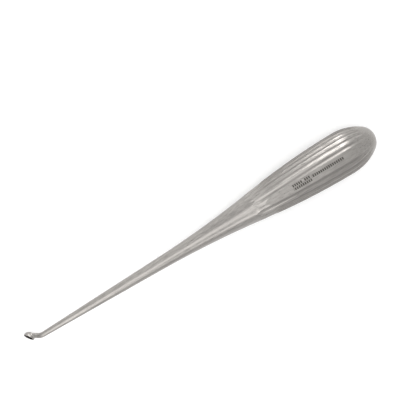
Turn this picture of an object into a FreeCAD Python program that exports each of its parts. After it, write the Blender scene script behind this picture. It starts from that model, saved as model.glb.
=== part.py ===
# Cup curette: one forged and ground bar of stainless steel.
# A small oval cup on a bent neck, a long tapered shaft and a reeded pear handle.
# Millimetres. While it is modelled, X runs along the shaft from the toe of the cup
# to the butt of the handle, and Z points out of the handle's front panel.
# At the end the curette is laid down as it rests on a table: on its back panel and
# on the back of its cup, with the middle of its footprint at the origin.

import FreeCAD, Part
import Sketcher
import math
import os

Vector = FreeCAD.Vector
Rotation = FreeCAD.Rotation
Placement = FreeCAD.Placement

# Driving dimensions. Radii are measured from the shaft's axis.
SIZES = [
    ("overall_length", 170.0, "toe of the cup to the butt, with the neck straight ahead of it"),
    ("butt_length", 15.5, "widest place of the handle to the butt"),
    ("bulge_radius", 9.55, "handle at its widest place"),
    ("belly_radius", 306.0, "long convex curve of the handle, seen from the side"),
    ("flare_radius", 420.0, "hollow curve that leads the shaft into the handle"),
    ("shoulder_radius", 21.9, "curve from the widest place towards the butt"),
    ("shaft_taper", 1.53, "half angle of the straight part of the shaft"),
    ("neck_radius", 1.15, "thinnest place of the shaft, at its bend"),
    ("bend_place", 6.4, "toe of the cup to the corner of the bend, along the shaft"),
    ("bend_radius", 3.5, "centreline of the bend"),
    ("neck_angle", 37.0, "how far the neck is bent out of the shaft's line"),
    ("cup_angle", 55.0, "lean of the cup's long axis against the shaft"),
    ("cup_half_length", 2.5, "half of the cup's mouth along it, outside"),
    ("cup_half_width", 1.75, "half of the cup's mouth across it, outside"),
    ("cup_depth", 2.4, "mouth to the back of the cup, outside"),
    ("cup_drop", 2.4, "middle of the mouth below the shaft's axis"),
    ("cup_place", 1.49, "toe to the middle of the mouth, along the shaft"),
    ("cup_wall", 0.32, "wall of the cup at its rim"),
    ("cup_floor", 0.55, "wall of the cup at its bottom"),
    ("cup_blend", 0.6, "radius where the neck runs into the cup"),
    ("neck_seat", 0.3, "middle of the cup back to where the neck ends inside it"),
    ("neck_sink", 1.2, "neck's end below the mouth"),
    ("neck_end_half_width", 1.36, "neck where it ends in the cup, across the mouth"),
    ("neck_end_half_depth", 0.95, "neck where it ends in the cup, square to the mouth"),
    ("tip_roll", 45.0, "turn of the cup about the shaft, away from the front panel"),
    ("panel_depth", 0.25, "flat of the smooth panels below the round of the handle"),
    ("panel_reach", 33.5, "widest place back to the full depth of the panels"),
    ("panel_end", 6.5, "widest place to where the panels start to run out"),
    ("groove_depth", 0.42, "reeds' grooves below the round of the handle"),
    ("groove_reach", 38.5, "widest place back to the full depth of the grooves"),
    ("groove_end", 7.5, "widest place to where the grooves start to run out"),
    ("groove_half_width", 1.1, "half of the mouth of a groove's cutter"),
    ("reed_radius", 2.6, "round back of a reed, across the handle"),
    ("run_in_radius", 60.0, "curve by which panels and grooves rise out at the front"),
    ("run_out_length", 7.0, "straight by which they rise out towards the butt"),
    ("first_groove", 20.8, "middle of a panel to the first groove beside it"),
    ("groove_count", 9.0, "grooves on each side of the handle"),
]

doc = FreeCAD.newDocument("cup_curette")
sheet = doc.addObject("Spreadsheet::Sheet", "sizes")
for row, (alias, value, meaning) in enumerate(SIZES, start=1):
    sheet.set("A%d" % row, alias)
    sheet.set("B%d" % row, str(value))
    sheet.set("C%d" % row, meaning)
    sheet.setAlias("B%d" % row, alias)
doc.recompute()


def size(alias):
    """The number that the sheet holds under this name."""
    return float(sheet.get(alias))


body = doc.addObject("PartDesign::Body", "curette_body")
PLANES = {plane.Role: plane for plane in body.Origin.OriginFeatures}


def new_sketch(name, role, roll=None, along=None):
    """A sketch on an origin plane, rolled about the shaft's axis and moved along it."""
    sketch = body.newObject("Sketcher::SketchObject", name)
    sketch.AttachmentSupport = (PLANES[role], [""])
    sketch.MapMode = "FlatFace"
    axis = Vector(1, 0, 0) if role == "XZ_Plane" else Vector(0, 0, 1)
    if roll:
        sketch.AttachmentOffset = Placement(Vector(), Rotation(axis, 1.0))
        sketch.setExpression("AttachmentOffset.Rotation.Angle", roll)
    if along:
        sketch.setExpression("AttachmentOffset.Base.z", along)
    return sketch


def dimension(sketch, kind, where, value, formula):
    """One driven dimension of a sketch, bound to the sheet."""
    index = sketch.addConstraint(Sketcher.Constraint(kind, *where, value))
    sketch.setExpression("Constraints[%d]" % index, formula)


def join(sketch, kind, *where):
    """One geometric rule of a sketch, such as Coincident, Tangent or Vertical."""
    sketch.addConstraint(Sketcher.Constraint(kind, *where))


def feature(kind, name, **settings):
    """A feature of the body that becomes its newest one."""
    step = body.newObject("PartDesign::" + kind, name)
    for setting, value in settings.items():
        setattr(step, setting, value)
    doc.recompute()
    body.Tip = step
    return step


# Ends of a piece of geometry in a sketch, and the sketch's own origin.
START = 1
END = 2
CENTRE = 3
X_AXIS = -1
Y_AXIS = -2
ORIGIN = (-1, 1)


def arc_between(centre, radius, first, last):
    """Arc about centre, counter-clockwise between two angles in radians."""
    circle = Part.Circle(Vector(centre[0], centre[1], 0), Vector(0, 0, 1), radius)
    return Part.ArcOfCircle(circle, first, last)


def line(first, last):
    return Part.LineSegment(Vector(first[0], first[1], 0), Vector(last[0], last[1], 0))


# Places along the handle that several sketches share.
bulge_place = size("overall_length") - size("butt_length")
BULGE_PLACE = "sizes.overall_length - sizes.butt_length"
belly_centre = (bulge_place, size("bulge_radius") - size("belly_radius"))
shoulder_centre = (bulge_place, size("bulge_radius") - size("shoulder_radius"))
shaft_start = size("bend_place") + size("bend_radius") * math.tan(math.radians(size("neck_angle") / 2))
SHAFT_START = "sizes.bend_place + sizes.bend_radius * tan(sizes.neck_angle / 2 * 1 deg)"


# Outline of shaft and handle: a straight taper, a hollow flare, the long belly,
# the shoulder and a round nose, each tangent to the next, turned about the axis.
def outline_sketch():
    taper = math.radians(size("shaft_taper"))
    flare = size("flare_radius")
    belly = size("belly_radius")
    shoulder = size("shoulder_radius")
    # The flare touches the shaft's line and the belly's circle.
    foot = (
        shaft_start - flare * math.sin(taper),
        size("neck_radius") + flare * math.cos(taper),
    )
    dx = foot[0] - belly_centre[0]
    dy = foot[1] - belly_centre[1]
    half = dx * math.cos(taper) + dy * math.sin(taper)
    run = -half - math.sqrt(half ** 2 - dx ** 2 - dy ** 2 + (flare + belly) ** 2)
    flare_centre = (foot[0] + run * math.cos(taper), foot[1] + run * math.sin(taper))
    shaft_end = (
        shaft_start + run * math.cos(taper),
        size("neck_radius") + run * math.sin(taper),
    )
    join_angle = math.atan2(flare_centre[1] - belly_centre[1], flare_centre[0] - belly_centre[0])
    # The nose is centred on the axis and touches the shoulder and the butt's plane.
    butt = size("butt_length")
    bulge = size("bulge_radius")
    nose = (butt ** 2 + bulge ** 2 - 2 * bulge * shoulder) / (2 * (butt - shoulder))
    nose_centre = (size("overall_length") - nose, 0.0)
    nose_angle = math.atan2(-shoulder_centre[1], nose_centre[0] - shoulder_centre[0])

    sketch = new_sketch("outline", "XZ_Plane")
    front, shaft, hollow, long_belly, round_shoulder, round_nose, axis = range(7)
    sketch.addGeometry(line((shaft_start, 0), (shaft_start, size("neck_radius"))))
    sketch.addGeometry(line((shaft_start, size("neck_radius")), shaft_end))
    sketch.addGeometry(arc_between(flare_centre, flare, taper - math.pi / 2, join_angle - math.pi))
    sketch.addGeometry(arc_between(belly_centre, belly, math.pi / 2, join_angle))
    sketch.addGeometry(arc_between(shoulder_centre, shoulder, nose_angle, math.pi / 2))
    sketch.addGeometry(arc_between(nose_centre, nose, 0.0, nose_angle))
    sketch.addGeometry(line((size("overall_length"), 0), (shaft_start, 0)))
    join(sketch, "Vertical", front)
    join(sketch, "Coincident", front, END, shaft, START)
    join(sketch, "Tangent", shaft, END, hollow, START)
    join(sketch, "Tangent", hollow, END, long_belly, END)
    join(sketch, "Tangent", long_belly, START, round_shoulder, END)
    join(sketch, "Tangent", round_shoulder, START, round_nose, END)
    join(sketch, "Coincident", round_nose, START, axis, START)
    join(sketch, "Coincident", axis, END, front, START)
    join(sketch, "PointOnObject", axis, START, X_AXIS)
    join(sketch, "PointOnObject", axis, END, X_AXIS)
    join(sketch, "PointOnObject", round_nose, CENTRE, X_AXIS)
    join(sketch, "Vertical", long_belly, CENTRE, long_belly, START)
    dimension(sketch, "DistanceX", (*ORIGIN, front, START), shaft_start, SHAFT_START)
    dimension(sketch, "DistanceY", (*ORIGIN, front, END), size("neck_radius"), "sizes.neck_radius")
    dimension(sketch, "Angle", (shaft,), taper, "sizes.shaft_taper * 1 deg")
    dimension(sketch, "Radius", (hollow,), flare, "sizes.flare_radius")
    dimension(sketch, "Radius", (long_belly,), belly, "sizes.belly_radius")
    dimension(sketch, "Radius", (round_shoulder,), shoulder, "sizes.shoulder_radius")
    dimension(sketch, "DistanceX", (*ORIGIN, long_belly, START), bulge_place, BULGE_PLACE)
    dimension(sketch, "DistanceY", (*ORIGIN, long_belly, START), bulge, "sizes.bulge_radius")
    dimension(
        sketch, "DistanceX", (*ORIGIN, round_nose, START), size("overall_length"), "sizes.overall_length"
    )
    return sketch


def add_sunk_curve(sketch, depth_name, reach_name, end_name):
    """Curve that runs below the handle's round by a depth and rises out at both ends."""
    depth = size(depth_name)
    belly = size("belly_radius") - depth
    shoulder = size("shoulder_radius") - depth
    run_in = size("run_in_radius")
    lean = math.asin(size(reach_name) / belly)
    fall = math.asin(size(end_name) / shoulder)
    turn = (belly_centre[0] - belly * math.sin(lean), belly_centre[1] + belly * math.cos(lean))
    in_centre = (turn[0] - run_in * math.sin(lean), turn[1] + run_in * math.cos(lean))
    leave = (
        shoulder_centre[0] + shoulder * math.sin(fall),
        shoulder_centre[1] + shoulder * math.cos(fall),
    )
    out = size("run_out_length")
    far = (leave[0] + out * math.cos(fall), leave[1] - out * math.sin(fall))

    run_in_arc, long_arc, short_arc, run_out = range(4)
    sketch.addGeometry(arc_between(in_centre, run_in, -math.pi / 2, lean - math.pi / 2))
    sketch.addGeometry(arc_between(belly_centre, belly, math.pi / 2, math.pi / 2 + lean))
    sketch.addGeometry(arc_between(shoulder_centre, shoulder, math.pi / 2 - fall, math.pi / 2))
    sketch.addGeometry(line(leave, far))
    join(sketch, "Vertical", run_in_arc, CENTRE, run_in_arc, START)
    join(sketch, "Tangent", run_in_arc, END, long_arc, END)
    join(sketch, "Tangent", long_arc, START, short_arc, END)
    join(sketch, "Tangent", short_arc, START, run_out, START)
    join(sketch, "Vertical", long_arc, CENTRE, long_arc, START)
    dimension(sketch, "Radius", (run_in_arc,), run_in, "sizes.run_in_radius")
    dimension(sketch, "Radius", (long_arc,), belly, "sizes.belly_radius - sizes." + depth_name)
    dimension(sketch, "Radius", (short_arc,), shoulder, "sizes.shoulder_radius - sizes." + depth_name)
    dimension(sketch, "DistanceX", (*ORIGIN, long_arc, START), bulge_place, BULGE_PLACE)
    dimension(
        sketch, "DistanceY", (*ORIGIN, long_arc, START),
        size("bulge_radius") - depth, "sizes.bulge_radius - sizes." + depth_name,
    )
    dimension(
        sketch, "DistanceX", (long_arc, END, long_arc, START), size(reach_name), "sizes." + reach_name
    )
    dimension(
        sketch, "DistanceX", (long_arc, START, run_out, START), size(end_name), "sizes." + end_name
    )
    dimension(sketch, "Distance", (run_out,), out, "sizes.run_out_length")
    return run_in_arc, run_out


# Smooth flat panels on the front and the back, which keep the curette from rolling.
def panel_sketch():
    sketch = new_sketch("panel", "XZ_Plane")
    run_in_arc, run_out = add_sunk_curve(sketch, "panel_depth", "panel_reach", "panel_end")
    top = 2 * size("bulge_radius")
    start = sketch.getPoint(run_in_arc, START)
    end = sketch.getPoint(run_out, END)
    right, lid, left = range(4, 7)
    sketch.addGeometry(line((end.x, end.y), (end.x, top)))
    sketch.addGeometry(line((end.x, top), (start.x, top)))
    sketch.addGeometry(line((start.x, top), (start.x, start.y)))
    join(sketch, "Coincident", run_out, END, right, START)
    join(sketch, "Coincident", right, END, lid, START)
    join(sketch, "Coincident", lid, END, left, START)
    join(sketch, "Coincident", left, END, run_in_arc, START)
    join(sketch, "Vertical", right)
    join(sketch, "Horizontal", lid)
    join(sketch, "Vertical", left)
    dimension(sketch, "DistanceY", (*ORIGIN, right, END), top, "2 * sizes.bulge_radius")
    return sketch


# Cross-section of a groove: two reed backs that meet at the groove's bottom.
def groove_profile_sketch(name, roll, path):
    half = size("groove_half_width")
    reed = size("reed_radius")
    top = 2 * half
    start = path.getPoint(0, START)
    sketch = new_sketch(name, "YZ_Plane", roll=roll, along=path.Name + ".Constraints.entry")
    # Each reed's back is level at the middle of the reed, half a pitch from the groove.
    floor = start.y
    crest = floor + reed - math.sqrt(reed ** 2 - half ** 2)
    left_centre = (-half, crest - reed)
    right_centre = (half, crest - reed)
    lean = math.asin(half / reed)
    left_flank, left_side, lid, right_side, right_flank = range(5)
    sketch.addGeometry(arc_between(left_centre, reed, math.pi / 2 - lean, math.pi / 2))
    sketch.addGeometry(line((-half, crest), (-half, floor + top)))
    sketch.addGeometry(line((-half, floor + top), (half, floor + top)))
    sketch.addGeometry(line((half, floor + top), (half, crest)))
    sketch.addGeometry(arc_between(right_centre, reed, math.pi / 2, math.pi / 2 + lean))
    join(sketch, "Coincident", left_flank, END, left_side, START)
    join(sketch, "Coincident", left_side, END, lid, START)
    join(sketch, "Coincident", lid, END, right_side, START)
    join(sketch, "Coincident", right_side, END, right_flank, START)
    join(sketch, "Coincident", right_flank, END, left_flank, START)
    join(sketch, "Vertical", left_side)
    join(sketch, "Horizontal", lid)
    join(sketch, "Vertical", right_side)
    join(sketch, "Vertical", left_flank, CENTRE, left_flank, END)
    join(sketch, "Vertical", right_flank, CENTRE, right_flank, START)
    join(sketch, "PointOnObject", left_flank, START, Y_AXIS)
    dimension(sketch, "Radius", (left_flank,), reed, "sizes.reed_radius")
    dimension(sketch, "Radius", (right_flank,), reed, "sizes.reed_radius")
    dimension(sketch, "DistanceX", (left_flank, END, *ORIGIN), half, "sizes.groove_half_width")
    dimension(sketch, "DistanceX", (*ORIGIN, right_flank, START), half, "sizes.groove_half_width")
    dimension(sketch, "DistanceY", (*ORIGIN, left_flank, START), floor, path.Name + ".Constraints.floor")
    dimension(sketch, "DistanceY", (left_flank, START, lid, START), top, "2 * sizes.groove_half_width")
    return sketch


def groove_path_sketch(name, roll):
    sketch = new_sketch(name, "XZ_Plane", roll=roll)
    add_sunk_curve(sketch, "groove_depth", "groove_reach", "groove_end")
    start = sketch.getPoint(0, START)
    for kind, label, value in (("DistanceX", "entry", start.x), ("DistanceY", "floor", start.y)):
        index = sketch.addConstraint(Sketcher.Constraint(kind, *ORIGIN, 0, START, value))
        sketch.setDriving(index, False)
        sketch.renameConstraint(index, label)
    return sketch


# The first groove beside the front panel on one side, and its copies round to the back panel.
def reeded_side(side, sign):
    roll = "%d * sizes.first_groove" % sign
    path = groove_path_sketch("groove_path_" + side, roll)
    doc.recompute()
    profile = groove_profile_sketch("groove_profile_" + side, roll, path)
    groove = feature(
        "SubtractivePipe", "groove_" + side, Profile=(profile, [""]), Spine=(path, [""]), Refine=False
    )
    pattern = feature(
        "PolarPattern", "grooves_" + side, Originals=[groove], Axis=(PLANES["X_Axis"], [""]),
        Reversed=sign < 0, Refine=False,
    )
    pattern.setExpression("Angle", "180 - 2 * sizes.first_groove")
    pattern.setExpression("Occurrences", "sizes.groove_count")
    doc.recompute()


# Places in the plane of the bend, where the cup's long axis leans against the shaft.
# "out" points out of the cup's mouth and "toe" along the cup to its toe.
def cup_point(toe, out):
    """A place given along the cup and out of its mouth, from the middle of the cup."""
    lean = math.radians(size("cup_angle"))
    x = size("cup_place") - toe * math.cos(lean) - out * math.sin(lean)
    z = -size("cup_drop") - toe * math.sin(lean) + out * math.cos(lean)
    return x, z


def cup_formulas(toe, out):
    """The same place as formulas for the sheet's values."""
    lean = "sizes.cup_angle * 1 deg"
    x = "sizes.cup_place - (%s) * cos(%s) - (%s) * sin(%s)" % (toe, lean, out, lean)
    z = "-sizes.cup_drop - (%s) * sin(%s) + (%s) * cos(%s)" % (toe, lean, out, lean)
    return x, z


def pin_point(sketch, index, end, place, formulas):
    """Holds one point of a sketch at a place in the plane of the bend."""
    dimension(sketch, "DistanceX", (*ORIGIN, index, end), place[0], formulas[0])
    dimension(sketch, "DistanceY", (*ORIGIN, index, end), place[1], formulas[1])


# Centre line of the bend, where the shaft turns towards the cup.
def bend_path_sketch():
    angle = math.radians(size("neck_angle"))
    radius = size("bend_radius")
    sketch = new_sketch("bend_path", "XZ_Plane", roll="sizes.tip_roll")
    sketch.addGeometry(arc_between((shaft_start, -radius), radius, math.pi / 2, math.pi / 2 + angle))
    join(sketch, "Vertical", 0, CENTRE, 0, START)
    join(sketch, "PointOnObject", 0, START, X_AXIS)
    dimension(sketch, "DistanceX", (*ORIGIN, 0, START), shaft_start, SHAFT_START)
    dimension(sketch, "Radius", (0,), radius, "sizes.bend_radius")
    dimension(sketch, "Angle", (0,), angle, "sizes.neck_angle * 1 deg")
    return sketch


def add_ring(sketch):
    sketch.addGeometry(Part.Circle(Vector(), Vector(0, 0, 1), size("neck_radius")))
    join(sketch, "Coincident", 0, CENTRE, *ORIGIN)
    dimension(sketch, "Radius", (0,), size("neck_radius"), "sizes.neck_radius")


def ring_sketch():
    """Round section of the shaft where the bend starts."""
    sketch = new_sketch("neck_ring", "YZ_Plane", along=SHAFT_START)
    add_ring(sketch)
    return sketch


def neck_start_sketch(path):
    """The same round section, square across the end of the bend."""
    sketch = body.newObject("Sketcher::SketchObject", "neck_start")
    sketch.AttachmentSupport = [(path, "Edge1")]
    sketch.MapMode = "NormalToEdge"
    sketch.MapPathParameter = 1.0
    add_ring(sketch)
    return sketch


# Two short lines from the middle of the mouth, one out of it and one towards the toe.
# The cup and the end of the neck are set on them.
def cup_axes_sketch():
    reach = size("cup_half_width")
    reach_formula = "sizes.cup_half_width"
    sketch = new_sketch("cup_axes", "XZ_Plane", roll="sizes.tip_roll")
    sketch.addGeometry(line(cup_point(0.0, 0.0), cup_point(0.0, reach)))
    sketch.addGeometry(line(cup_point(0.0, 0.0), cup_point(reach, 0.0)))
    join(sketch, "Coincident", 0, START, 1, START)
    pin_point(sketch, 0, START, cup_point(0.0, 0.0), cup_formulas("0", "0"))
    pin_point(sketch, 0, END, cup_point(0.0, reach), cup_formulas("0", reach_formula))
    pin_point(sketch, 1, END, cup_point(reach, 0.0), cup_formulas(reach_formula, "0"))
    return sketch


def set_on_cup(item, axes, x_line, z_line):
    """Sets a sketch or solid at the middle of the mouth, with its X and Z along two of the lines."""
    item.AttachmentSupport = [(axes, "Vertex1"), (axes, x_line), (axes, z_line)]
    item.MapMode = "OZX"


# Oval section where the neck ends inside the cup, X out of the mouth and Y across it.
def neck_end_sketch(axes):
    half_width = size("neck_end_half_width")
    half_depth = size("neck_end_half_depth")
    sketch = body.newObject("Sketcher::SketchObject", "neck_end")
    set_on_cup(sketch, axes, "Edge1", "Edge2")
    sketch.setExpression("AttachmentOffset.Base.x", "-sizes.neck_sink")
    sketch.setExpression("AttachmentOffset.Base.z", "-sizes.neck_seat")
    sketch.addGeometry(Part.Ellipse(Vector(0, half_width, 0), Vector(-half_depth, 0, 0), Vector()))
    sketch.exposeInternalGeometry(0)
    oval, long_axis, short_axis = range(3)
    join(sketch, "Coincident", oval, CENTRE, *ORIGIN)
    join(sketch, "Vertical", long_axis)
    dimension(sketch, "Distance", (long_axis,), 2 * half_width, "2 * sizes.neck_end_half_width")
    dimension(sketch, "Distance", (short_axis,), 2 * half_depth, "2 * sizes.neck_end_half_depth")
    return sketch


# Everything above the plane of the mouth, a square that reaches past the cup all round.
def mouth_sketch():
    reach = 2 * size("cup_half_length")
    reach_formula = "2 * sizes.cup_half_length"
    corners = [(-reach, 0.0), (reach, 0.0), (reach, reach), (-reach, reach)]
    formulas = [
        cup_formulas("-" + reach_formula, "0"),
        cup_formulas(reach_formula, "0"),
        cup_formulas(reach_formula, reach_formula),
        cup_formulas("-" + reach_formula, reach_formula),
    ]
    places = [cup_point(toe, out) for toe, out in corners]
    sketch = new_sketch("mouth", "XZ_Plane", roll="sizes.tip_roll")
    for index in range(4):
        sketch.addGeometry(line(places[index], places[(index + 1) % 4]))
    for index in range(4):
        join(sketch, "Coincident", index, END, (index + 1) % 4, START)
        pin_point(sketch, index, START, places[index], formulas[index])
    return sketch


def ellipsoid(kind, name, axes, depth, half_length, half_width):
    """Egg of steel, or of air, on the middle of the mouth, with its three sizes as formulas."""
    egg = body.newObject("PartDesign::%sEllipsoid" % kind, name)
    set_on_cup(egg, axes, "Edge2", "Edge1")
    egg.setExpression("Radius1", depth)
    egg.setExpression("Radius2", half_length)
    egg.setExpression("Radius3", half_width)
    doc.recompute()
    body.Tip = egg
    return egg


def neck_line(shape):
    """Names of the edges where the neck runs into the outside of the cup."""
    flat = [face for face in shape.Faces if face.Surface.TypeId == "Part::GeomPlane"]
    rim = min(flat, key=lambda face: face.BoundBox.XMin)
    lip = max(rim.Edges, key=lambda edge: edge.Length)
    beside_lip = shape.ancestorsOfType(lip, Part.Face)
    outside = [face for face in beside_lip if not face.isSame(rim)][0]
    names = []
    for number, edge in enumerate(shape.Edges, start=1):
        on_outside = any(edge.isSame(other) for other in outside.Edges)
        beside = shape.ancestorsOfType(edge, Part.Face)
        if on_outside and len(beside) == 2 and not edge.isSame(lip):
            names.append("Edge%d" % number)
    return names


# Shaft and handle in one turn.
outline = outline_sketch()
feature(
    "Revolution", "shaft_and_handle", Profile=outline, ReferenceAxis=(PLANES["X_Axis"], [""]),
    Angle=360.0,
)

# The panels, front and back alike.
panel = panel_sketch()
front_panel = feature(
    "Pocket", "front_panel", Profile=panel, Type="ThroughAll", SideType="Symmetric", Refine=False
)
feature(
    "Mirrored", "back_panel", Originals=[front_panel], MirrorPlane=(PLANES["XY_Plane"], [""]), Refine=False
)

# The reeds, left between their grooves on both sides.
reeded_side("left", -1)
reeded_side("right", 1)

# The bend and the neck.
bend_path = bend_path_sketch()
ring = ring_sketch()
feature("AdditivePipe", "bend", Profile=(ring, [""]), Spine=(bend_path, [""]))
cup_axes = cup_axes_sketch()
doc.recompute()
neck_start = neck_start_sketch(bend_path)
neck_end = neck_end_sketch(cup_axes)
doc.recompute()
feature("AdditiveLoft", "neck", Profile=(neck_start, [""]), Sections=[(neck_end, [""])])

# The cup: an egg of steel, cut off at the mouth and hollowed by a smaller egg.
ellipsoid("Additive", "cup", cup_axes, "sizes.cup_depth", "sizes.cup_half_length", "sizes.cup_half_width")
mouth = mouth_sketch()
feature("Pocket", "open_mouth", Profile=mouth, Type="ThroughAll", SideType="Symmetric")
hollow = ellipsoid(
    "Subtractive", "cup_hollow", cup_axes, "sizes.cup_depth - sizes.cup_floor",
    "sizes.cup_half_length - sizes.cup_wall", "sizes.cup_half_width - sizes.cup_wall",
)
blend = body.newObject("PartDesign::Fillet", "cup_blend")
blend.Base = (hollow, neck_line(hollow.Shape))
blend.setExpression("Radius", "sizes.cup_blend")
doc.recompute()
body.Tip = blend


# The curette at rest: it leans until the back panel and the cup both touch the table.
REST_FINENESS = 0.02


def rest_placement(shape):
    points, _ = shape.tessellate(REST_FINENESS)
    middle = size("overall_length") / 2
    lean = 0.0
    for _ in range(5):
        turn = Rotation(Vector(0, 1, 0), math.degrees(-lean))
        turned = [turn.multVec(point) for point in points]
        tip = min((p for p in turned if p.x < middle), key=lambda p: p.z)
        handle = min((p for p in turned if p.x >= middle), key=lambda p: p.z)
        lean += math.atan2(tip.z - handle.z, handle.x - tip.x)
    turn = Rotation(Vector(0, 1, 0), math.degrees(-lean))
    turned = [turn.multVec(point) for point in points]
    middle_x = (min(p.x for p in turned) + max(p.x for p in turned)) / 2
    middle_y = (min(p.y for p in turned) + max(p.y for p in turned)) / 2
    low = min(p.z for p in turned)
    return Placement(Vector(-middle_x, -middle_y, -low), turn)


body.Label = "curette"
body.Placement = rest_placement(body.Shape)
doc.recompute()

for step in doc.Objects:
    if "Invalid" in step.State or "Error" in step.State:
        raise RuntimeError("%s failed: %s" % (step.Label, step.State))
if body.Shape.isNull() or not body.Shape.isValid() or len(body.Shape.Solids) != 1:
    raise RuntimeError("the curette isn't one valid solid")

os.makedirs("parts", exist_ok=True)
body.Shape.exportStep("parts/%s.step" % body.Label)
print("%s: %.1f mm3, placed %s" % (body.Label, body.Shape.Volume, body.Placement))
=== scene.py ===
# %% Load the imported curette
import math

import bmesh
import bpy
from mathutils import Matrix, Vector

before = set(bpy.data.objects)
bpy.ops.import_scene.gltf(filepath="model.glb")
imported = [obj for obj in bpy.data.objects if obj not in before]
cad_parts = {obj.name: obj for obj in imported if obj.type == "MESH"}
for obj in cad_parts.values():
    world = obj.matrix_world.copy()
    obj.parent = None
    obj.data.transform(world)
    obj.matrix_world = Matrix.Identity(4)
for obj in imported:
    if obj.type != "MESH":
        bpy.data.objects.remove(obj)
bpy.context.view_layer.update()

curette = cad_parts["curette"]
MM = 0.001

# %% [markdown]
# # A cup curette
#
# The real object is a surgical curette forged and ground from one bar of stainless steel: a long
# thin shaft that swells into a heavy handle, reeds and smooth panels on the handle, and a small
# sharp cup on a bent neck at the other end. It lies on a table, on the back of the handle and on
# the cup, so its middle line is not level.
#
# Everything that is drawn here is placed along that middle line. The model's own placement gives
# it: how far the line leans, and where it starts, a little beyond the tip of the cup. A line that
# was measured from slices of the mesh came out 0.2 mm off, which is a lot inside a 3 mm cup.

# %% The middle line of the shaft
LEAN = math.radians(2.12165)
LINE_START = Vector((-85.0282, 0.0, 3.77695)) * MM
IN_HANDLE = 150.0 * MM

along = Vector((math.cos(LEAN), 0.0, math.sin(LEAN)))
panel_out = Vector((-along.z, 0.0, along.x))


def on_line(distance):
    """The point of the middle line that is so many metres from its start."""
    return LINE_START + along * distance


print("a point inside the handle, in mm:", [round(v / MM, 2) for v in on_line(IN_HANDLE)])

# %% [markdown]
# ## The camera
#
# The photograph was taken from almost straight above, with a long lens, so hardly anything gets
# smaller with distance. The smooth panel of the handle is turned a little away from the camera,
# and the picture is turned so that the curette runs from the lower left to the upper right. The
# camera is built from three directions instead of from angles: towards the viewer, to the right,
# and up.

# %% Camera
PANEL_TURN = math.radians(12.2)
PICTURE_TURN = math.radians(31.14)
VIEW_WIDTH = 168.0 * MM
AIM_ALONG = 72.28 * MM
AIM_RIGHT = 10.38 * MM
AIM_UP = 22.88 * MM
CAMERA_DISTANCE = 1.8
SENSOR_WIDTH = 36
FARTHEST_SEEN = 10

to_viewer = math.cos(PANEL_TURN) * panel_out + math.sin(PANEL_TURN) * panel_out.cross(along)
across = to_viewer.cross(along)
right = math.cos(PICTURE_TURN) * along - math.sin(PICTURE_TURN) * across
up = math.sin(PICTURE_TURN) * along + math.cos(PICTURE_TURN) * across
aim = on_line(AIM_ALONG) + right * AIM_RIGHT + up * AIM_UP

lens = bpy.data.cameras.new("camera")
lens.sensor_width = SENSOR_WIDTH
lens.lens = SENSOR_WIDTH * CAMERA_DISTANCE / VIEW_WIDTH
lens.clip_end = FARTHEST_SEEN
camera = bpy.data.objects.new("camera", lens)
stand = Matrix((right, up, to_viewer)).transposed().to_4x4()
stand.translation = aim + to_viewer * CAMERA_DISTANCE
camera.matrix_world = stand
bpy.context.scene.collection.objects.link(camera)
bpy.context.scene.camera = camera
bpy.context.scene.view_settings.view_transform = "Standard"
print("lens in mm:", round(lens.lens, 1), "camera tilt from vertical:",
      round(math.degrees(to_viewer.angle(Vector((0, 0, 1)))), 1))

# %% [markdown]
# ## Colours and nodes
#
# Colours are easiest to read as the hex values that a paint program shows. Blender's shaders work
# with linear light, so one function turns them over. Another small function adds a node with its
# settings and its links, and every material is built with it.

# %% Colours and nodes


def linear(hex_colour):
    """Turns an sRGB hex colour into the linear colour that a shader wants."""
    parts = [int(hex_colour[place:place + 2], 16) / 255 for place in (1, 3, 5)]
    curve = [part / 12.92 if part <= 0.04045 else ((part + 0.055) / 1.055) ** 2.4
             for part in parts]
    return (*curve, 1.0)


def node(tree, kind, links=None, inputs=None, **settings):
    """Adds a node: its settings, then fixed inputs by name or number, then linked inputs."""
    made = tree.nodes.new(kind)
    for name, value in settings.items():
        setattr(made, name, value)
    for name, value in (inputs or {}).items():
        made.inputs[name].default_value = value
    for name, source in (links or {}).items():
        tree.links.new(source, made.inputs[name])
    return made


def empty_material(name):
    """A new material without nodes, and the tree that its nodes go into."""
    material = bpy.data.materials.new(name)
    material.use_nodes = True
    material.node_tree.nodes.clear()
    return material, material.node_tree


print("white in linear light:", linear("#ffffff"))

# %% [markdown]
# ## The table
#
# The photograph shows the curette on plain white with hardly any shadow. A wide pale floor does
# that: it is nearly white, and a little glow that only the camera and reflections see lifts it to
# white, while the shadow under the steel stays.

# %% Floor
FLOOR_REACH = 3.0
FLOOR_GLOW = 0.08
FLOOR_ROUGHNESS = 0.9

floor_mesh = bpy.data.meshes.new("floor")
plate = bmesh.new()
bmesh.ops.create_grid(plate, x_segments=1, y_segments=1, size=FLOOR_REACH)
plate.to_mesh(floor_mesh)
plate.free()
floor = bpy.data.objects.new("floor", floor_mesh)
bpy.context.scene.collection.objects.link(floor)

floor_material, tree = empty_material("matt white table")
path = node(tree, "ShaderNodeLightPath")
seen = path.outputs["Is Camera Ray"]
for mirrored in ("Is Glossy Ray", "Is Transmission Ray"):
    either = node(tree, "ShaderNodeMath", operation="MAXIMUM",
                  links={0: seen, 1: path.outputs[mirrored]})
    seen = either.outputs[0]
glow = node(tree, "ShaderNodeMath", operation="MULTIPLY", links={0: seen}, inputs={1: FLOOR_GLOW})
surface = node(tree, "ShaderNodeBsdfPrincipled", links={"Emission Strength": glow.outputs[0]},
               inputs={"Base Color": linear("#fcfcfc"), "Roughness": FLOOR_ROUGHNESS,
                       "Emission Color": linear("#ffffff")})
node(tree, "ShaderNodeOutputMaterial", links={"Surface": surface.outputs[0]})
floor_mesh.materials.append(floor_material)
print("the floor reaches", max(corner.co.x for corner in floor_mesh.vertices), "m each way")

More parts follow.
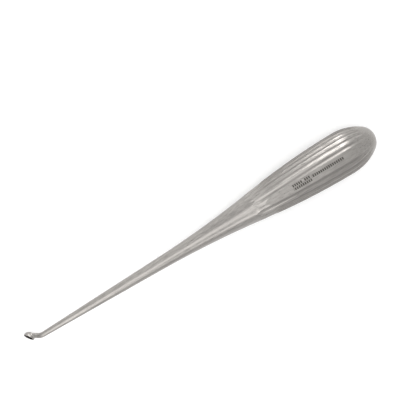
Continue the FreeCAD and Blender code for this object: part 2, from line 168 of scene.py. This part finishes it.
# %% [markdown]
# ## The room and the lamps
#
# Steel has almost no colour of its own, it shows what is around it. So the room is plain white and
# the lamps are big and soft, like cloth boxes in a studio, and their places decide where the
# bright bands run. Each one faces a point of the middle line, leaning sideways from the viewer.

# %% World and lamps
LAMP_DISTANCE = 0.6
LAMP_WIDTH = 0.2
LAMPS = (
    # name, place along the middle line, degrees sideways, size across the line, watts
    ("shaft light", 0 * MM, -3, 0.35, 0.48),
    ("toe light", -130 * MM, -50, 0.19, 0.62),
    ("handle light", 235 * MM, 40, 0.19, 0.9),
    ("far side light", 235 * MM, 76, 0.19, 1.25),
)

world = bpy.data.worlds.new("studio")
world.use_nodes = True
world.node_tree.nodes.clear()
tree = world.node_tree
room = node(tree, "ShaderNodeBackground", inputs={"Color": linear("#ffffff"), "Strength": 1.0})
node(tree, "ShaderNodeOutputWorld", links={"Surface": room.outputs[0]})
bpy.context.scene.world = world

for name, distance_along, degrees, lamp_height, watts in LAMPS:
    sideways = math.radians(degrees)
    direction = math.cos(sideways) * to_viewer + math.sin(sideways) * across
    lamp = bpy.data.lights.new(name, "AREA")
    lamp.shape = "RECTANGLE"
    lamp.size = LAMP_WIDTH
    lamp.size_y = lamp_height
    lamp.energy = watts
    holder = bpy.data.objects.new(name, lamp)
    face = Matrix((along, direction.cross(along), direction)).transposed().to_4x4()
    face.translation = on_line(distance_along) + direction * LAMP_DISTANCE
    holder.matrix_world = face
    bpy.context.scene.collection.objects.link(holder)
    print(name, "is", round(face.translation.z, 2), "m above the table")

# %% [markdown]
# ## The steel
#
# Surgical instruments of this kind are stainless steel with a satin finish: ground, then brushed
# lengthwise or blasted with fine glass beads, so that lamps over the table don't dazzle. To the eye
# that is a neutral, slightly warm grey, with soft-edged highlights and very fine lines and grain.
#
# A metal in Blender is Metallic 1 with a grey base colour and the default IOR. What makes it satin
# is the roughness, and what keeps it from looking like plastic is that roughness and height vary
# on a fine scale. Real brushing is finer than a pixel of the picture, so it is drawn coarser.
#
# A Mapping node turns the object's coordinates so that x runs along the middle line and z comes
# out of the front panel. The patterns and the marks below all use it.

# %% Satin steel
BRUSH_WIDTH = 0.45 * MM
BRUSH_LENGTH = 4.0 * MM
GRAIN = 0.3 * MM
PATCH = 14.0 * MM
PATCH_SHARE = 0.3
BUMP_STRENGTH = 0.2
BUMP_HEIGHT = 0.03 * MM

steel, tree = empty_material("stainless steel, brushed satin")
place = node(tree, "ShaderNodeTexCoord")
turned = Matrix.Rotation(LEAN, 3, "Y") @ LINE_START
local = node(tree, "ShaderNodeMapping", links={"Vector": place.outputs["Object"]},
             inputs={"Rotation": (0, LEAN, 0), "Location": -turned})
strokes = node(tree, "ShaderNodeMapping", links={"Vector": local.outputs[0]},
               inputs={"Scale": (1 / BRUSH_LENGTH, 1 / BRUSH_WIDTH, 1 / BRUSH_WIDTH)})
brush = node(tree, "ShaderNodeTexNoise", links={"Vector": strokes.outputs[0]},
             inputs={"Scale": 1.0, "Detail": 3.0, "Roughness": 0.6})
grain = node(tree, "ShaderNodeTexNoise", links={"Vector": local.outputs[0]},
             inputs={"Scale": 1 / GRAIN, "Detail": 2.0, "Roughness": 0.7})
patches = node(tree, "ShaderNodeTexNoise", links={"Vector": local.outputs[0]},
               inputs={"Scale": 1 / PATCH, "Detail": 2.0})
mottle = node(tree, "ShaderNodeMix", data_type="FLOAT", inputs={0: PATCH_SHARE},
              links={2: brush.outputs["Fac"], 3: patches.outputs["Fac"]})
shade = node(tree, "ShaderNodeMapRange", links={"Value": mottle.outputs[0]},
             inputs={"From Min": 0.36, "From Max": 0.64})
tint = node(tree, "ShaderNodeMix", data_type="RGBA", links={0: shade.outputs[0]},
            inputs={6: linear("#868380"), 7: linear("#9c9995")})
rough = node(tree, "ShaderNodeMapRange", links={"Value": brush.outputs["Fac"]},
             inputs={"From Min": 0.3, "From Max": 0.7, "To Min": 0.27, "To Max": 0.36})
fine = node(tree, "ShaderNodeBump", links={"Height": grain.outputs["Fac"]},
            inputs={"Strength": BUMP_STRENGTH, "Distance": BUMP_HEIGHT})
lines = node(tree, "ShaderNodeBump",
             links={"Height": brush.outputs["Fac"], "Normal": fine.outputs[0]},
             inputs={"Strength": BUMP_STRENGTH, "Distance": BUMP_HEIGHT})
metal = node(tree, "ShaderNodeBsdfPrincipled", distribution="GGX", inputs={"Metallic": 1.0},
             links={"Roughness": rough.outputs[0], "Normal": lines.outputs[0]})
node(tree, "ShaderNodeOutputMaterial", links={"Surface": metal.outputs[0]})
for slot in curette.material_slots:
    slot.material = steel
print("steel nodes:", len(tree.nodes))

# %% [markdown]
# ## Painted shade in the grooves
#
# In the photograph the grooves are darker than light alone makes them here, so shade is painted
# into them as a darker colour.
# The grooves are evenly spaced in angle around the middle line, nine on each side of the handle,
# so the angle tells how far a point is from the nearest one: PINGPONG turns a count of steps into
# the distance to the nearest whole step.

# %% Painted shade in the grooves
FIRST_GROOVE = math.radians(20.8)
GROOVE_COUNT = 9
GROOVE_STEP = (math.pi - 2 * FIRST_GROOVE) / (GROOVE_COUNT - 1)
HALF_STEP = 0.5
DARK_WITHIN = 0.08
GROOVE_HALF_WIDTH = 0.34
RUN_IN = (112 * MM, 122 * MM)
RUN_OUT = (157 * MM, 163 * MM)
GROOVE_SHADE_MOST = 0.9
SOFT = {"interpolation_type": "SMOOTHSTEP"}

spot = node(tree, "ShaderNodeSeparateXYZ", links={0: local.outputs[0]})
turn = node(tree, "ShaderNodeMath", operation="ARCTAN2",
            links={0: spot.outputs["Y"], 1: spot.outputs["Z"]})
turn_size = node(tree, "ShaderNodeMath", operation="ABSOLUTE", links={0: turn.outputs[0]})
steps = node(tree, "ShaderNodeMath", operation="MULTIPLY_ADD", links={0: turn_size.outputs[0]},
             inputs={1: 1 / GROOVE_STEP, 2: -FIRST_GROOVE / GROOVE_STEP})
from_groove = node(tree, "ShaderNodeMath", operation="PINGPONG", links={0: steps.outputs[0]},
                   inputs={1: HALF_STEP})
groove_shade_across = node(tree, "ShaderNodeMapRange", links={"Value": from_groove.outputs[0]}, **SOFT,
           inputs={"From Min": DARK_WITHIN, "From Max": GROOVE_HALF_WIDTH,
                   "To Min": 1.0, "To Max": 0.0})
reeded = node(tree, "ShaderNodeMath", operation="COMPARE", links={0: steps.outputs[0]},
              inputs={1: (GROOVE_COUNT - 1) / 2, 2: GROOVE_COUNT / 2})
run_in = node(tree, "ShaderNodeMapRange", links={"Value": spot.outputs["X"]}, **SOFT,
              inputs={"From Min": RUN_IN[0], "From Max": RUN_IN[1],
                      "To Min": 0.0, "To Max": GROOVE_SHADE_MOST})
run_out = node(tree, "ShaderNodeMapRange", links={"Value": spot.outputs["X"]}, **SOFT,
               inputs={"From Min": RUN_OUT[0], "From Max": RUN_OUT[1],
                       "To Min": 1.0, "To Max": 0.0})
dark = groove_shade_across
for mask in (reeded, run_in, run_out):
    dark = node(tree, "ShaderNodeMath", operation="MULTIPLY",
                links={0: dark.outputs[0], 1: mask.outputs[0]})
# Painted shade: the grooves on the reeded sides get a darker colour, fading in and out along the
# handle.
with_groove_shade = node(tree, "ShaderNodeMix", data_type="RGBA",
               links={0: dark.outputs[0], 6: tint.outputs[2]}, inputs={7: linear("#7c7976")})
tree.links.new(with_groove_shade.outputs[2], metal.inputs["Base Color"])
print("degrees between grooves:", round(math.degrees(GROOVE_STEP), 2))

# %% [markdown]
# ## Marks on the smooth panel
#
# Such a handle usually carries small dark marks on its smooth panel, etched into the steel. Here
# they say nothing: they are plain bars in rows of their own height, like the blank lines of a form.
# Etching has almost no depth, so it is only a darker colour. A brick texture draws the bars. It
# gives each brick a random grey, so a threshold leaves some bars out whole. Each row is kept
# inside a box that is given in millimetres, on the front of the handle only.

# %% Etched bars
BAR_LENGTH = 0.95 * MM
BAR_HEIGHT = 1.5 * MM
BAR_GAP = 0.32 * MM
BAR_SHIFT = 0.35
BARS_LEFT_OUT = 0.15
BAR_FIELDS = (
    # middle along, half length, middle across, half height, rows start at
    (133.2 * MM, 4.3 * MM, 0.0, 1.5 * MM, 0.0),
    (145.9 * MM, 7.8 * MM, 0.3 * MM, 0.75 * MM, 0.45 * MM),
)

on_front = node(tree, "ShaderNodeMath", operation="GREATER_THAN",
                links={0: spot.outputs["Z"]}, inputs={1: 0.0})
in_fields = None
for along_middle, half_length, across_middle, half_height, row_start in BAR_FIELDS:
    shifted = node(tree, "ShaderNodeMapping", links={"Vector": local.outputs[0]},
                   inputs={"Location": (0, row_start, 0)})
    bars = node(tree, "ShaderNodeTexBrick", links={"Vector": shifted.outputs[0]}, offset=BAR_SHIFT,
                inputs={"Scale": 1.0, "Mortar Size": BAR_GAP / 2, "Mortar Smooth": 0.0,
                        "Brick Width": BAR_LENGTH, "Row Height": BAR_HEIGHT,
                        "Color1": linear("#ffffff"), "Color2": linear("#000000"),
                        "Mortar": linear("#000000")})
    kept = node(tree, "ShaderNodeMath", operation="GREATER_THAN",
                links={0: bars.outputs["Color"]}, inputs={1: BARS_LEFT_OUT})
    in_length = node(tree, "ShaderNodeMath", operation="COMPARE", links={0: spot.outputs["X"]},
                     inputs={1: along_middle, 2: half_length})
    in_height = node(tree, "ShaderNodeMath", operation="COMPARE", links={0: spot.outputs["Y"]},
                     inputs={1: across_middle, 2: half_height})
    shown = kept
    for mask in (in_length, in_height):
        shown = node(tree, "ShaderNodeMath", operation="MULTIPLY",
                     links={0: shown.outputs[0], 1: mask.outputs[0]})
    in_fields = shown if in_fields is None else node(
        tree, "ShaderNodeMath", operation="MAXIMUM",
        links={0: in_fields.outputs[0], 1: shown.outputs[0]})
etched = node(tree, "ShaderNodeMath", operation="MULTIPLY",
              links={0: in_fields.outputs[0], 1: on_front.outputs[0]})
marked = node(tree, "ShaderNodeMix", data_type="RGBA",
              links={0: etched.outputs[0], 6: with_groove_shade.outputs[2]}, inputs={7: linear("#4a4744")})
tree.links.new(marked.outputs[2], metal.inputs["Base Color"])
print("rows of bars:", len(BAR_FIELDS))

# %% [markdown]
# ## Painted shade inside the cup
#
# Little light reaches the hollow of the cup, so it looks nearly black in the photograph. That shade
# is painted here: the hollow gets a dark colour. The steel is one piece, so instead of a second
# mesh the colour changes inside an egg that is a little larger than the hollow and smaller than the
# cup. A
# Mapping node of the Texture kind moves the pattern's centre to the mouth, turns it along the cup
# and measures in radii. Only the half of the egg under the mouth counts, because the neck passes
# through the other half.

# %% Painted shade in the hollow of the cup
MOUTH_ALONG = 1.49 * MM
MOUTH_DROP = 2.4 * MM
CUP_ANGLE = math.radians(55)
CUP_ROLL = math.radians(45)
HOLLOW_RADII = (2.26 * MM, 1.51 * MM, 1.95 * MM)
UNDER_RIM = -0.02

bend_side = Vector((0, -math.sin(CUP_ROLL), math.cos(CUP_ROLL)))
x_axis = Vector((1, 0, 0))
mouth = x_axis * MOUTH_ALONG - bend_side * MOUTH_DROP
out_of_mouth = bend_side * math.cos(CUP_ANGLE) - x_axis * math.sin(CUP_ANGLE)
to_toe = -bend_side * math.sin(CUP_ANGLE) - x_axis * math.cos(CUP_ANGLE)
cup_frame = Matrix((to_toe, out_of_mouth.cross(to_toe), out_of_mouth)).transposed()
in_cup = node(tree, "ShaderNodeMapping", vector_type="TEXTURE", links={"Vector": local.outputs[0]},
              inputs={"Location": mouth, "Rotation": cup_frame.to_euler(), "Scale": HOLLOW_RADII})
reach = node(tree, "ShaderNodeVectorMath", operation="LENGTH", links={0: in_cup.outputs[0]})
in_egg = node(tree, "ShaderNodeMath", operation="LESS_THAN",
              links={0: reach.outputs["Value"]}, inputs={1: 1.0})
cup_place = node(tree, "ShaderNodeSeparateXYZ", links={0: in_cup.outputs[0]})
under_mouth = node(tree, "ShaderNodeMath", operation="LESS_THAN",
                   links={0: cup_place.outputs["Z"]}, inputs={1: UNDER_RIM})
hollow = node(tree, "ShaderNodeMath", operation="MULTIPLY",
              links={0: in_egg.outputs[0], 1: under_mouth.outputs[0]})
# Painted shade: the hollow of the cup gets a nearly black colour where little light reaches.
with_hollow_shade = node(tree, "ShaderNodeMix", data_type="RGBA",
              links={0: hollow.outputs[0], 6: marked.outputs[2]}, inputs={7: linear("#2b2928")})
tree.links.new(with_hollow_shade.outputs[2], metal.inputs["Base Color"])
print("mouth of the cup, in mm from the line's start:", [round(v / MM, 2) for v in mouth])
